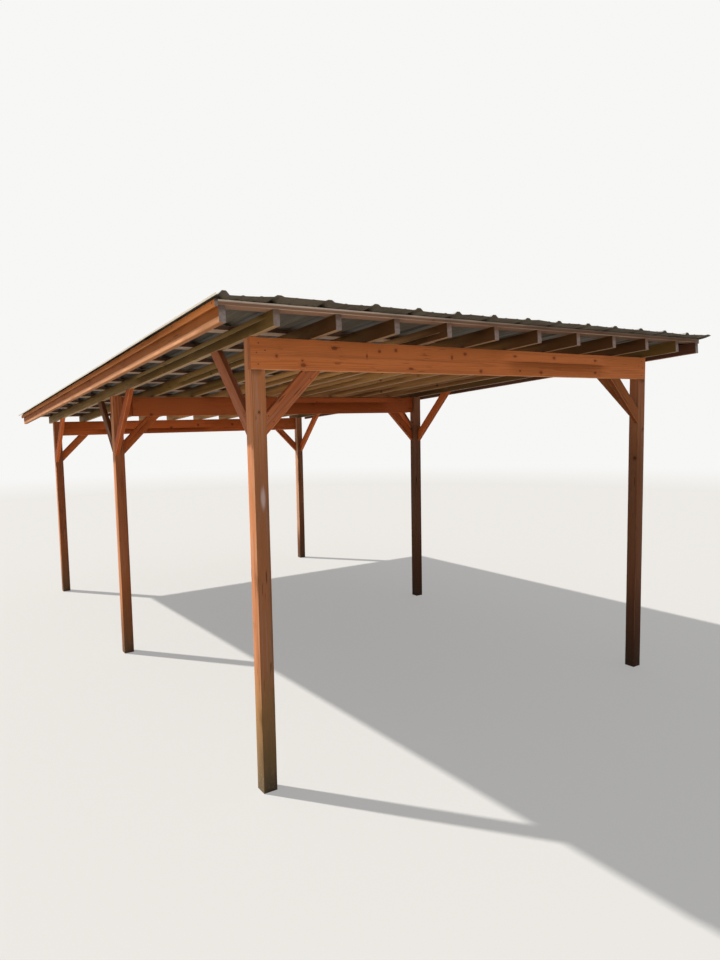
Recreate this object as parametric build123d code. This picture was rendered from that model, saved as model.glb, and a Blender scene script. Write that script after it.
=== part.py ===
from build123d import *
import os
from math import cos, hypot, radians, sin, sqrt, tan

# Open carport: six notched posts carry three beams, the beams carry rafters, purlins
# and a low roof of ribbed metal sheets that falls to the back.
# Millimetres. X runs to the right along the front beam from the outer face of the
# left posts, Y runs to the back from the front face of the front beam, Z is up from
# the floor that all six posts stand on. The whole is centred on its base at the end.

# Timber sections, planed sizes
TWO_BY = 38.0
FOUR_BY = 89.0
BEAM_DEPTH = 184.0
PURLIN_THICK = 30.0
RAKE_STRIP_THICK = 19.0
RAKE_STRIP_DEPTH = 38.0

# Plan
RAFTER_PITCH = 406.4
RAFTER_BAYS = 9
POST_ROW_FRONTS = {"front": 0.0, "middle": 3092.0, "back": 6123.0}
FLY_OVERHANG_LEFT = 305.0
FLY_OVERHANG_RIGHT = 283.4
TAIL_OVERHANG = 304.0

# Heights
FRONT_BEAM_TOP = 2705.0
BACK_BEAM_TOP = 2255.0

# Knee braces: height of the foot below the beam. Five were nailed on lower
BRACE_FOOT_DROP = 345.0
LOW_BRACE_FOOT_DROP = 375.0
LOW_BRACES = {
    "front_left_to_beam",
    "front_left_down_slope",
    "front_right_to_beam",
    "middle_left_to_beam",
    "middle_left_up_slope",
}

# Second board nailed to the front of the middle beam, short of the posts
INNER_BOARD_SETBACK = 190.0
INNER_BOARD_DROP = 4.0

# Roof boards and rake strips
PURLIN_PITCH = 609.6
PURLIN_COUNT = 12
RAKE_STRIP_TAIL = 60.0

# Metal sheets
SHEET_THICK = 0.6
RIB_HEIGHT = 19.0
RIB_TOP = 22.0
RIB_BASE = 60.0
RIB_PITCH = 304.8
RIB_GAPS = 14
RIBS_PER_SHEET = 3
STIFFENER_HEIGHT = 3.0
STIFFENER_TOP = 10.0
STIFFENER_BASE = 22.0
EDGE_OVERHANG = 47.0
EDGE_LIP = 12.0
EDGE_UPSTAND = 12.0
LAP_LIP = 10.0
FRONT_DRIP = 96.0
BACK_DRIP = 120.0

# Clearances
HEEL_CLEARANCE = 1.0
LAP_CLEARANCE = 0.1

# Sizes that follow
FRAME_WIDTH = RAFTER_PITCH * RAFTER_BAYS + TWO_BY / 2
NOTCH_TONGUE = FOUR_BY - TWO_BY
BEAM_FRONTS = {
    "front": POST_ROW_FRONTS["front"],
    "middle": POST_ROW_FRONTS["middle"] + NOTCH_TONGUE,
    "back": POST_ROW_FRONTS["back"] + NOTCH_TONGUE,
}
FALL = (FRONT_BEAM_TOP - BACK_BEAM_TOP) / BEAM_FRONTS["back"]
SLOPE_LENGTH = hypot(1.0, FALL)
ROOF = Plane(origin=(0, 0, FRONT_BEAM_TOP), x_dir=(1, 0, 0), z_dir=(0, FALL, 1))
RAFTER_LENGTH = (PURLIN_COUNT - 1) * PURLIN_PITCH + FOUR_BY
ROOF_LEFT = -FLY_OVERHANG_LEFT
ROOF_RIGHT = FRAME_WIDTH + FLY_OVERHANG_RIGHT
MITRE_LENGTH = FOUR_BY * sqrt(2)
CORNER = (Align.MIN, Align.MIN, Align.MIN)


def rafter_underside(y):
    """Height of the rafters' lower edge over a point on the floor."""
    return FRONT_BEAM_TOP - FALL * y


def block(x, y, z, width, depth, height):
    """A squared timber from its lower left front corner."""
    return Pos(x, y, z) * Box(width, depth, height, align=CORNER)


def roof_board(x, along, above, width, length, thickness):
    """A squared board laid in the slope: along runs down from the front beam,
    above is measured square to the slope from the rafters' underside."""
    return ROOF * Pos(x, along, above) * Box(width, length, thickness, align=CORNER)


def beam_top(row):
    return rafter_underside(BEAM_FRONTS[row])


def beam(row):
    """Planed two-by-eight across the whole frame, flush with the posts' outer faces."""
    bottom = beam_top(row) - BEAM_DEPTH
    return block(0, BEAM_FRONTS[row], bottom, FRAME_WIDTH, TWO_BY, BEAM_DEPTH)


def inner_board():
    """Board nailed flat on the middle beam's front side, between the posts."""
    bottom = beam_top("middle") - BEAM_DEPTH - INNER_BOARD_DROP
    length = FRAME_WIDTH - 2 * INNER_BOARD_SETBACK
    front = BEAM_FRONTS["middle"] - TWO_BY
    return block(INNER_BOARD_SETBACK, front, bottom, length, TWO_BY, BEAM_DEPTH)


def notched_post(row, x):
    """Four-by-four with a notch that seats the beam, its tongue cut to the roof slope."""
    y = POST_ROW_FRONTS[row]
    seat = beam_top(row) - BEAM_DEPTH
    blank = block(x, y, 0, FOUR_BY, FOUR_BY, FRONT_BEAM_TOP)
    notch = block(x, BEAM_FRONTS[row], seat, FOUR_BY, TWO_BY, FRONT_BEAM_TOP)
    return split(blank - notch, bisect_by=ROOF, keep=Keep.BOTTOM)


def foot_drop(place):
    return LOW_BRACE_FOOT_DROP if place in LOW_BRACES else BRACE_FOOT_DROP


def brace_to_beam(row, side, far):
    """Knee brace in the beam's plane: plumb cut on the post, level cut under the beam.
    far is the reach of its outer edge from the corner, the same both ways."""
    top = beam_top(row) - BEAM_DEPTH
    face, inward = (FOUR_BY, 1) if side == "left" else (FRAME_WIDTH - FOUR_BY, -1)
    near = far - MITRE_LENGTH
    outline = Polygon(
        (face, top - far),
        (face + inward * far, top),
        (face + inward * near, top),
        (face, top - near),
        align=None,
    )
    plane = Plane.XZ.offset(-BEAM_FRONTS[row])
    return extrude(plane * outline, amount=TWO_BY, dir=(0, 1, 0))


def brace_to_rafter(row, side, way, drop):
    """Knee brace from a post's front or back face up to the rafter over that post.
    way is 1 down the slope and -1 up the slope."""
    face = POST_ROW_FRONTS[row] + (FOUR_BY if way > 0 else 0)
    foot = beam_top(row) - BEAM_DEPTH - drop

    def top_point(start):
        run = (rafter_underside(face) - start) / (1 + way * FALL)
        return (face + way * run, start + run)

    outline = Polygon(
        (face, foot),
        top_point(foot),
        top_point(foot + MITRE_LENGTH),
        (face, foot + MITRE_LENGTH),
        align=None,
    )
    x = 0 if side == "left" else FRAME_WIDTH - TWO_BY
    return extrude(Plane.YZ.offset(x) * outline, amount=TWO_BY, dir=(1, 0, 0))


def fly_rafter(x):
    """Plain two-by-four on edge under the roof's side overhang."""
    return roof_board(x, -TAIL_OVERHANG, 0, TWO_BY, RAFTER_LENGTH, FOUR_BY)


def seated_rafter(x):
    """Rafter with a shallow level seat cut over each beam."""
    rafter = fly_rafter(x)
    for row, front in BEAM_FRONTS.items():
        seat = block(x, front, 0, TWO_BY, TWO_BY + HEEL_CLEARANCE, beam_top(row))
        rafter -= seat
    return rafter


def rafter_left_face(number):
    """Rafters are centred on the pitch; the first stands flush on the left posts."""
    if number == 1:
        return 0.0
    return (number - 1) * RAFTER_PITCH - TWO_BY / 2


def purlin(number):
    """Flat board across all rafters."""
    along = (number - 1) * PURLIN_PITCH - TAIL_OVERHANG
    width = ROOF_RIGHT - ROOF_LEFT
    return roof_board(ROOF_LEFT, along, FOUR_BY, width, FOUR_BY, PURLIN_THICK)


def rake_strip(x):
    """Strip nailed over the purlins' ends, its top flush with theirs."""
    above = FOUR_BY + PURLIN_THICK - RAKE_STRIP_DEPTH
    length = RAFTER_LENGTH + RAKE_STRIP_TAIL
    return roof_board(x, -TAIL_OVERHANG, above, RAKE_STRIP_THICK, length, RAKE_STRIP_DEPTH)


def rib_centre(number):
    """The first rib stands one edge lip inside the left edge of the metal."""
    first = ROOF_LEFT - EDGE_OVERHANG + EDGE_LIP + RIB_BASE / 2
    return first + number * RIB_PITCH


def rib_walls(number, stand_off=0.0):
    """Underside of one rib as (across, above pan) points from left foot to right foot.
    A rib that laps over another stands off it by the same distance all round."""
    run = (RIB_BASE - RIB_TOP) / 2
    wall = hypot(run, RIB_HEIGHT)
    foot = RIB_BASE / 2 + stand_off * wall / RIB_HEIGHT
    shoulder = RIB_TOP / 2 + stand_off * (wall - run) / RIB_HEIGHT
    top = RIB_HEIGHT + stand_off
    centre = rib_centre(number)
    return [(centre - foot, 0), (centre - shoulder, top), (centre + shoulder, top), (centre + foot, 0)]


def stiffeners(number):
    """The two low ribs in the pan to the right of a rib."""
    points = []
    for third in (1, 2):
        centre = rib_centre(number) + RIB_PITCH * third / 3
        points.append((centre - STIFFENER_BASE / 2, 0))
        points.append((centre - STIFFENER_TOP / 2, STIFFENER_HEIGHT))
        points.append((centre + STIFFENER_TOP / 2, STIFFENER_HEIGHT))
        points.append((centre + STIFFENER_BASE / 2, 0))
    return points


def sheet_section(first, last):
    """Underside line of one sheet from its first rib to its last, left to right."""
    laps_over = first > 0
    stand_off = SHEET_THICK + LAP_CLEARANCE if laps_over else 0.0
    points = rib_walls(first, stand_off)
    if laps_over:
        foot, shoulder = points[0], points[1]
        share = stand_off / shoulder[1]
        landing = foot[0] + (shoulder[0] - foot[0]) * share
        points[0] = (landing, stand_off)
        points.insert(0, (landing - LAP_LIP, stand_off))
    else:
        left_edge = points[0][0] - EDGE_LIP
        points = [(left_edge, EDGE_UPSTAND), (left_edge, 0)] + points
    for number in range(first, last):
        points += stiffeners(number) + rib_walls(number + 1)
    if last == RIB_GAPS:
        right_edge = points[-1][0] + EDGE_LIP
        points += [(right_edge, 0), (right_edge, EDGE_UPSTAND)]
    return points


def roof_sheet(first, last):
    """Ribbed sheet folded from one flat strip and laid on the purlins."""
    front_edge = ROOF.origin - ROOF.y_dir * (TAIL_OVERHANG + FRONT_DRIP)
    cross_plane = Plane(front_edge, x_dir=ROOF.x_dir, z_dir=-ROOF.y_dir)
    pan = FOUR_BY + PURLIN_THICK
    underside = Polyline(*[(across, pan + up) for across, up in sheet_section(first, last)])
    thick_line = Wire(underside.edges()).offset_2d(
        SHEET_THICK, kind=Kind.INTERSECTION, side=Side.LEFT, closed=True
    )
    length = FRONT_DRIP + RAFTER_LENGTH + BACK_DRIP
    return extrude(cross_plane * make_face(thick_line.edges()), amount=length, dir=ROOF.y_dir)


def all_pieces():
    """Every piece under the name of its node."""
    pieces = {}
    sides = {"left": 0.0, "right": FRAME_WIDTH - FOUR_BY}
    ways = {"front": [1], "middle": [-1, 1], "back": [-1]}
    way_names = {1: "down", -1: "up"}
    for row in POST_ROW_FRONTS:
        pieces[f"beam_{row}"] = beam(row)
        for side, x in sides.items():
            pieces[f"post_{row}_{side}"] = notched_post(row, x)
            place = f"{row}_{side}_to_beam"
            pieces[f"brace_{place}"] = brace_to_beam(row, side, foot_drop(place))
            for way in ways[row]:
                place = f"{row}_{side}_{way_names[way]}_slope"
                pieces[f"brace_{place}"] = brace_to_rafter(row, side, way, foot_drop(place))
    pieces["beam_middle_inner_board"] = inner_board()
    pieces["fly_rafter_left"] = fly_rafter(ROOF_LEFT)
    pieces["fly_rafter_right"] = fly_rafter(ROOF_RIGHT - TWO_BY)
    for number in range(1, RAFTER_BAYS + 2):
        pieces[f"rafter_{number:02d}"] = seated_rafter(rafter_left_face(number))
    for number in range(1, PURLIN_COUNT + 1):
        pieces[f"purlin_{number:02d}"] = purlin(number)
    pieces["rake_strip_left"] = rake_strip(ROOF_LEFT - RAKE_STRIP_THICK)
    pieces["rake_strip_right"] = rake_strip(ROOF_RIGHT)
    for first in range(0, RIB_GAPS, RIBS_PER_SHEET):
        last = min(first + RIBS_PER_SHEET, RIB_GAPS)
        pieces[f"roof_sheet_{first // RIBS_PER_SHEET + 1}"] = roof_sheet(first, last)
    return pieces


os.makedirs("parts", exist_ok=True)
pieces = all_pieces()
box = Compound(list(pieces.values())).bounding_box()
to_base_centre = Pos(-box.center().X, -box.center().Y, -box.min.Z)
for name, piece in pieces.items():
    export_step(to_base_centre * piece, f"parts/{name}.step")
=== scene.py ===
"""Looks of the open timber carport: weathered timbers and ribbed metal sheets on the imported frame."""
import math
import random

import bmesh
import bpy
from mathutils import Matrix, Vector, noise


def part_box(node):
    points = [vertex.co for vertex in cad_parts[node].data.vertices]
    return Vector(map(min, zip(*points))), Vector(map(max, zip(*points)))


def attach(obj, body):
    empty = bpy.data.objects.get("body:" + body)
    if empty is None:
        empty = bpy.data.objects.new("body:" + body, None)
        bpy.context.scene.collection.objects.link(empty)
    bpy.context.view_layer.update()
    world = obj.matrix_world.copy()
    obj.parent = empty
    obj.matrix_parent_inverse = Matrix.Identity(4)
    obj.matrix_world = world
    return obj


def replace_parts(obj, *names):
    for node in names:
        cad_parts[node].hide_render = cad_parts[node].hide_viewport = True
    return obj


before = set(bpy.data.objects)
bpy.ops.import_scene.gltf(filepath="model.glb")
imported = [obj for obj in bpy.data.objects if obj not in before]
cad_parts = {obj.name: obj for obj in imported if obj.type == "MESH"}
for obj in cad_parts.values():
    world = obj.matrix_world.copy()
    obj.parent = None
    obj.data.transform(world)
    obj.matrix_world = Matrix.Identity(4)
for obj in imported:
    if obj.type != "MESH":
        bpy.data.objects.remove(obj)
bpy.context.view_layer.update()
random.seed(41)

# Timber, metres
SECTION_STEP = 0.075
EASED_EDGE = 0.003
FACE_WAVE = 0.0006
BOW = 0.0015
CRACK_HALF_WIDTH = 0.0011
CRACK_DEPTH = 0.007
ARRIS_AREA = 0.0006
PURLIN_THICK = 0.030
PURLIN_WIDTH = 0.089

# Ribbed sheet, metres, as the solids have it
SHEET_THICK = 0.0006
RIB_HEIGHT = 0.019
RIB_TOP = 0.022
RIB_BASE = 0.060
RIB_PITCH = 0.3048
RIBS_PER_SHEET = 3
RIB_GAPS = 14
STIFFENER_HEIGHT = 0.003
STIFFENER_TOP = 0.010
STIFFENER_BASE = 0.022
EDGE_LIP = 0.012
EDGE_UPSTAND = 0.012
LAP_LIP = 0.010
LAP_CLEARANCE = 0.0001

# Ribbed sheet, metres, as only the scene has it
EDGE_DROOP = 0.004
BEND_RADIUS = 0.0022
BEND_STEPS = 3
SHEET_STEP = 0.105
FRONT_STATIONS = (0.0, 0.02, 0.045, 0.07)
BACK_STATIONS = (0.05, 0.02, 0.0)
LOOSE_FRONT = 0.096
LOOSE_BACK = 0.12
PAN_WAVE = 0.0022
SHEET_TONES = (0.2, 0.9, 0.4, 0.0, 0.7)
SHEET_MATERIALS = ("metal_top", "metal_under", "metal_edge_highlight")
TOP, UNDER, EDGE = range(3)

# Fasteners, metres
NAIL_RADIUS = 0.0045
SCREW_RADIUS = 0.0045
SCREW_HEAD = 0.005
WASHER_RADIUS = 0.0085
WASHER_THICK = 0.0018
WASHER_GAP = 0.0004
SCREW_FROM_RIB = 0.014
NAIL_SIDES = 10
WASHER_SIDES = 14
SCREW_SIDES = 6
FULL_TURN = 6.28

POST_ROWS = ("front", "middle", "back")
PURLINS = sorted(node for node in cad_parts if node.startswith("purlin_"))
RAFTERS = sorted(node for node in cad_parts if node.startswith("rafter_"))


# Frame lines

def box_of(node):
    """Lowest and highest corner of a CAD node."""
    low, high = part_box(node)
    return Vector(low), Vector(high)


def roof_lines():
    """Down-slope and upward unit vectors of the roof and the purlins' spacing, from the
    first and the last purlin."""
    first, _ = box_of(PURLINS[0])
    last, _ = box_of(PURLINS[-1])
    run = Vector((0, last.y - first.y, last.z - first.z))
    down = run.normalized()
    return down, Vector((0, -down.z, down.y)), run.length / (len(PURLINS) - 1)


DOWN, UP, PURLIN_PITCH = roof_lines()


def deck_origin():
    """Point on the purlins' upper plane over the front edge of the first purlin."""
    low, high = box_of(PURLINS[0])
    return Vector((0, low.y + PURLIN_THICK * UP.y, high.z))


DECK = deck_origin()


def on_deck(x, along, above):
    return Vector((x, DECK.y, DECK.z)) + DOWN * along + UP * above


def purlin_middle(node):
    """How far down the slope a purlin's middle lies."""
    first, _ = box_of(PURLINS[0])
    low, _ = box_of(node)
    return (low.y - first.y) / DOWN.y + PURLIN_WIDTH / 2


def first_rib():
    low, _ = box_of("roof_sheet_1")
    return low.x + EDGE_LIP + RIB_BASE / 2


RIB_X = first_rib()
SCREW_X = RIB_X + RIB_BASE / 2 + SCREW_FROM_RIB
SCREW_ALONG = PURLIN_WIDTH / 2


def rib_centre(index):
    return RIB_X + index * RIB_PITCH


# Camera solved from the photograph, placed from the foot of the front left post

IMAGE_WIDTH = 720
IMAGE_HEIGHT = 960
FOCAL_PIXELS = 693.05
SENSOR_HEIGHT = 36.0
CAMERA_FROM_POST = Vector((-1.680, -3.648, 2.235))
CAMERA_YAW = math.radians(33.425)
CAMERA_PITCH = math.radians(5.116)
CAMERA_ROLL = math.radians(-1.029)


def camera_axes():
    """Unit vectors to the right, to the top and into the photograph."""
    forward = Vector((
        math.sin(CAMERA_YAW) * math.cos(CAMERA_PITCH),
        math.cos(CAMERA_YAW) * math.cos(CAMERA_PITCH),
        -math.sin(CAMERA_PITCH),
    ))
    level = Vector((math.cos(CAMERA_YAW), -math.sin(CAMERA_YAW), 0))
    upright = level.cross(forward)
    right = level * math.cos(CAMERA_ROLL) + upright * math.sin(CAMERA_ROLL)
    top = upright * math.cos(CAMERA_ROLL) - level * math.sin(CAMERA_ROLL)
    return right, top, forward


def on_front_face(column, row):
    """Where a pixel of the photograph lies on the common face of the front beam and posts, to
    the nearest millimetre: right from the front left post's outer side, and up from its foot."""
    right, top, forward = camera_axes()
    ray = forward * FOCAL_PIXELS + right * (column - IMAGE_WIDTH / 2) + top * (IMAGE_HEIGHT / 2 - row)
    spot = CAMERA_FROM_POST - ray * (CAMERA_FROM_POST.y / ray.y)
    return round(spot.x, 3), round(spot.z, 3)


# Shader helpers

class Nodes:
    """A node tree in the making. Each method adds nodes and returns their output."""

    def __init__(self, tree):
        self.tree = tree

    def node(self, kind, inputs=(), output=0, **settings):
        made = self.tree.nodes.new(kind)
        for key, value in settings.items():
            setattr(made, key, value)
        for key, value in dict(inputs).items():
            if isinstance(value, bpy.types.NodeSocket):
                self.tree.links.new(value, made.inputs[key])
            else:
                made.inputs[key].default_value = value
        return made.outputs[output]

    def math(self, operation, a, b=0.0):
        return self.node("ShaderNodeMath", {0: a, 1: b}, operation=operation)

    def plus(self, a, b):
        return self.math("ADD", a, b)

    def minus(self, a, b):
        return self.math("SUBTRACT", a, b)

    def times(self, a, b):
        return self.math("MULTIPLY", a, b)

    def wrap(self, value, half):
        inputs = {0: value, 1: half, 2: -half}
        return self.node("ShaderNodeMath", inputs, operation="WRAP")

    def vector(self, operation, a, b=(0.0, 0.0, 0.0), output=0):
        return self.node("ShaderNodeVectorMath", {0: a, 1: b}, output, operation=operation)

    def length(self, vector):
        return self.vector("LENGTH", vector, output=1)

    def split(self, vector):
        return tuple(self.node("ShaderNodeSeparateXYZ", {0: vector}).node.outputs)

    def join(self, x, y, z):
        return self.node("ShaderNodeCombineXYZ", {0: x, 1: y, 2: z})

    def attribute(self, name, output="Fac"):
        return self.node("ShaderNodeAttribute", attribute_name=name, output=output)

    def noise(self, vector, scale, detail=3.0, roughness=0.55):
        inputs = {"Vector": vector, "Scale": scale, "Detail": detail, "Roughness": roughness}
        return self.node("ShaderNodeTexNoise", inputs)

    def span(self, value, low, high, to_low=0.0, to_high=1.0):
        inputs = {"Value": value, "From Min": low, "From Max": high, "To Min": to_low, "To Max": to_high}
        return self.node("ShaderNodeMapRange", inputs, interpolation_type="SMOOTHSTEP")

    def mix(self, factor, a, b, blend="MIX"):
        a, b = (color if isinstance(color, bpy.types.NodeSocket) else (*color, 1.0) for color in (a, b))
        return self.node("ShaderNodeMix", {0: factor, 6: a, 7: b}, 2, data_type="RGBA", blend_type=blend)


class Shader(Nodes):
    """One material, with its place in the frame and the colour laid on so far."""

    def __init__(self, name):
        self.material = bpy.data.materials.new(name)
        self.material.use_nodes = True
        super().__init__(self.material.node_tree)
        self.surface = self.tree.nodes["Principled BSDF"]
        self.place = self.node("ShaderNodeTexCoord", output="Object")
        self.color = None

    def paint(self, share, color):
        """Lays a share of another colour over the one so far."""
        self.color = self.mix(share, self.color, color)

    def dimmed(self, level):
        """The colour so far, times a level."""
        return self.mix(1.0, self.color, self.join(level, level, level), "MULTIPLY")

    def set_surface(self, name, value):
        self.surface.inputs[name].default_value = value

    def finish(self, roughness, height, bump_distance, bump_strength):
        inputs = {"Strength": bump_strength, "Distance": bump_distance, "Height": height}
        bump = self.node("ShaderNodeBump", inputs)
        for name, output in (("Base Color", self.color), ("Roughness", roughness), ("Normal", bump)):
            self.tree.links.new(output, self.surface.inputs[name])
        return self.material


# Materials

RING_SPACING = 0.0062
KNOTS_PER_METRE = 7.5

STAINED = {
    "early": (0.62, 0.200, 0.062),
    "late": (0.45, 0.122, 0.034),
    "streak": (0.42, 0.135, 0.047),
    "faded": (0.62, 0.255, 0.108),
    "end": (0.36, 0.135, 0.060),
    "knot": (0.17, 0.052, 0.020),
    "worn_and_highlight": (0.82, 0.42, 0.23),
}
# Stain of the beams and braces under the roof, darkened as painted shade
SHADED_STAIN = {
    "early": (0.55, 0.128, 0.028),
    "late": (0.39, 0.074, 0.015),
    "streak": (0.36, 0.080, 0.022),
    "faded": (0.54, 0.165, 0.048),
    "end": (0.31, 0.090, 0.030),
    "knot": (0.11, 0.028, 0.009),
    "worn_and_highlight": (0.66, 0.26, 0.10),
}
# Front braces: the front beam's stain darkened as painted shade under the roof
BRACE = {
    "early": (0.50, 0.150, 0.052),
    "late": (0.35, 0.092, 0.031),
    "streak": (0.31, 0.105, 0.052),
    "faded": (0.50, 0.205, 0.105),
    "end": (0.30, 0.11, 0.05),
    "knot": (0.14, 0.042, 0.017),
    "worn_and_highlight": (0.74, 0.38, 0.21),
    "bloom": (0.42, 0.22, 0.15),
}
# Fly rafters: stain darkened as painted shade under the roof's edge, with their own underside colour
EDGE_BOARD = {
    "early": (0.38, 0.108, 0.012),
    "late": (0.26, 0.064, 0.007),
    "streak": (0.25, 0.068, 0.011),
    "faded": (0.43, 0.150, 0.024),
    "end": (0.40, 0.36, 0.38),
    "knot": (0.085, 0.024, 0.008),
    "worn_and_highlight": (0.58, 0.25, 0.085),
    "under": (0.23, 0.085, 0.026),
}
# Rake strips: the fly rafters' stain darkened as painted shade, with their own tail colour
STRIP = {
    **EDGE_BOARD,
    "early": (0.38, 0.115, 0.014),
    "late": (0.26, 0.070, 0.009),
    "streak": (0.25, 0.074, 0.013),
    "faded": (0.43, 0.155, 0.028),
    "worn_and_highlight": (0.60, 0.27, 0.10),
    "tail": (0.66, 0.225, 0.058),
}
# Painted sunlight: the paler low band of the fly rafters' outer faces
PAINTED_SUNLIT_BAND = (0.69, 0.340, 0.180)
POST = {
    "early": (0.57, 0.225, 0.092),
    "late": (0.37, 0.125, 0.050),
    "streak": (0.30, 0.125, 0.062),
    "faded": (0.54, 0.270, 0.145),
    "end": (0.34, 0.14, 0.07),
    "knot": (0.12, 0.038, 0.016),
    "worn_and_highlight": (0.78, 0.43, 0.25),
    "bloom": (0.50, 0.30, 0.235),
    "foot": ((0.36, 0.200, 0.080), (0.20, 0.130, 0.060), (0.115, 0.090, 0.055)),
}
# Other left posts: stain darkened as painted shade under the roof, and a paler sunny colour as painted
# sunlight
DEEP_POST = {
    "early": (0.50, 0.150, 0.048),
    "late": (0.32, 0.080, 0.026),
    "streak": (0.27, 0.085, 0.034),
    "faded": (0.49, 0.190, 0.085),
    "end": (0.30, 0.10, 0.045),
    "knot": (0.10, 0.028, 0.011),
    "worn_and_highlight": (0.66, 0.30, 0.14),
    "bloom": (0.42, 0.20, 0.13),
    "foot": ((0.33, 0.115, 0.040), (0.23, 0.100, 0.042), (0.130, 0.078, 0.040)),
    "sunny": (0.53, 0.235, 0.112),
}
# Right posts: stain darkened further as painted shade, and a paler sunny colour as painted sunlight on the
# back post
RIGHT_POST = {
    "early": (0.43, 0.158, 0.066),
    "late": (0.27, 0.088, 0.037),
    "streak": (0.24, 0.098, 0.050),
    "faded": (0.42, 0.205, 0.108),
    "end": (0.30, 0.10, 0.045),
    "knot": (0.10, 0.028, 0.011),
    "worn_and_highlight": (0.60, 0.32, 0.18),
    "bloom": (0.36, 0.215, 0.155),
    "foot": ((0.24, 0.092, 0.045), (0.17, 0.072, 0.038), (0.110, 0.062, 0.036)),
    "sunny": (0.60, 0.345, 0.225),
}
# Right braces: darker stain as painted shade, with a dark underside
RIGHT_BRACE = {
    "early": (0.30, 0.092, 0.024),
    "late": (0.21, 0.053, 0.012),
    "streak": (0.19, 0.054, 0.017),
    "faded": (0.32, 0.118, 0.038),
    "end": (0.24, 0.08, 0.03),
    "knot": (0.08, 0.024, 0.008),
    "worn_and_highlight": (0.50, 0.23, 0.10),
    "under": (0.15, 0.036, 0.008),
}
RAW = {
    "early": (0.46, 0.245, 0.088),
    "late": (0.27, 0.130, 0.043),
    "streak": (0.21, 0.077, 0.033),
    "faded": (0.48, 0.300, 0.140),
    "end": (0.38, 0.325, 0.33),
    "knot": (0.055, 0.028, 0.014),
    "worn_and_highlight": (0.50, 0.38, 0.27),
    "under": (0.35, 0.220, 0.130),
    "tail": (0.084, 0.036, 0.012),
}
# Rafters darkened as painted shade: the outermost, and with RAW's tail the second and the third
SHADED_RAFTER = {
    "early": (0.205, 0.122, 0.032),
    "late": (0.120, 0.064, 0.017),
    "streak": (0.105, 0.042, 0.016),
    "faded": (0.24, 0.165, 0.065),
    "end": (0.36, 0.31, 0.315),
    "knot": (0.050, 0.024, 0.010),
    "worn_and_highlight": (0.46, 0.34, 0.22),
    "under": (0.40, 0.265, 0.165),
    "tail": (0.150, 0.088, 0.024),
}
SHADED_RAFTER_DARK_TAIL = {**SHADED_RAFTER, "tail": RAW["tail"]}
# A brace that stands in shadow: its colours are painted shadow
SHADOWED_BRACE = {
    "early": (0.165, 0.062, 0.022),
    "late": (0.110, 0.036, 0.012),
    "streak": (0.100, 0.034, 0.014),
    "faded": (0.19, 0.085, 0.034),
    "end": (0.20, 0.08, 0.035),
    "knot": (0.05, 0.018, 0.008),
    "worn_and_highlight": (0.56, 0.27, 0.13),
}
# Inner faces of the fly rafters and rake strips: dark colours as painted shade
INNER = {
    "early": (0.150, 0.056, 0.030),
    "late": (0.085, 0.030, 0.017),
    "streak": (0.080, 0.034, 0.024),
    "faded": (0.17, 0.085, 0.052),
    "end": (0.40, 0.37, 0.38),
    "knot": (0.04, 0.016, 0.010),
    "worn_and_highlight": (0.30, 0.17, 0.11),
}
# Purlins: dark sides as painted shade between the rafters, and a paler underside as painted light
BOARD = {
    "early": (0.17, 0.100, 0.065),
    "late": (0.105, 0.056, 0.036),
    "streak": (0.10, 0.05, 0.035),
    "faded": (0.22, 0.15, 0.11),
    "under": (0.50, 0.370, 0.290),
    "end": (0.42, 0.36, 0.34),
    "knot": (0.11, 0.055, 0.035),
    "worn_and_highlight": (0.78, 0.68, 0.62),
}
# Front purlin: a near-white top colour as a painted highlight, and a darker colour towards the right
FRONT_BOARD = {
    "early": (0.42, 0.290, 0.215),
    "late": (0.27, 0.150, 0.098),
    "streak": (0.25, 0.130, 0.090),
    "faded": (0.50, 0.39, 0.32),
    "end": (0.40, 0.34, 0.32),
    "knot": (0.09, 0.040, 0.026),
    "worn_and_highlight": (0.62, 0.52, 0.46),
    "darkened": (0.165, 0.092, 0.060),
    "top_highlight": (0.92, 0.80, 0.75),
}

# Marks on the front face, given as column and row of the photograph, half sizes in metres
FRONT_BEAM_KNOTS = (
    (335.0, 347.5, 0.022, 0.011),
    (304.0, 364.5, 0.020, 0.012),
    (303.0, 360.0, 0.009, 0.007),
    (277.3, 355.2, 0.010, 0.010),
    (367.5, 355.5, 0.007, 0.014),
    (380.0, 351.0, 0.012, 0.009),
    (396.5, 349.8, 0.013, 0.012),
    (411.5, 368.2, 0.020, 0.008),
    (452.5, 357.0, 0.009, 0.015),
    (465.5, 353.5, 0.016, 0.011),
    (481.5, 370.7, 0.015, 0.013),
    (515.5, 355.8, 0.018, 0.009),
    (520.5, 370.3, 0.011, 0.007),
    (541.5, 372.0, 0.018, 0.011),
    (554.5, 357.5, 0.017, 0.011),
    (595.5, 360.3, 0.017, 0.009),
    (595.5, 372.3, 0.017, 0.010),
)
FRONT_POST_KNOTS = ((259.8, 411.7, 0.007, 0.009),)

# Rubbed patch of the front left post: right of its outer side, up from its foot, half sizes
RUBBED_PATCH = (0.052, 1.780, 0.021, 0.088)
RUBBED_COLOR = (0.60, 0.47, 0.47)

# Weathering, painted shade and painted sunlight, metres in the frame or shares of a section's height
SHADY_FACTOR = 0.58
SHADY_TOP_FACTOR = 0.86
SHADY_TOP = (1.70, 2.40)
TAIL_REACH = 1.05
SUNLIT_BAND_LINE = -0.30
FRONT_SPLIT_DROP = 0.014
DARKENED_SPAN = (-1.6, 0.9)
INNER_SHADE_SPAN = (0.25, 0.95)
SPLASH_COLOR = (0.36, 0.27, 0.19)
SPECK_COLOR = (0.13, 0.085, 0.045)
WOOD_SPECULAR = 0.16
METAL_SPECULAR = 0.2


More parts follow.
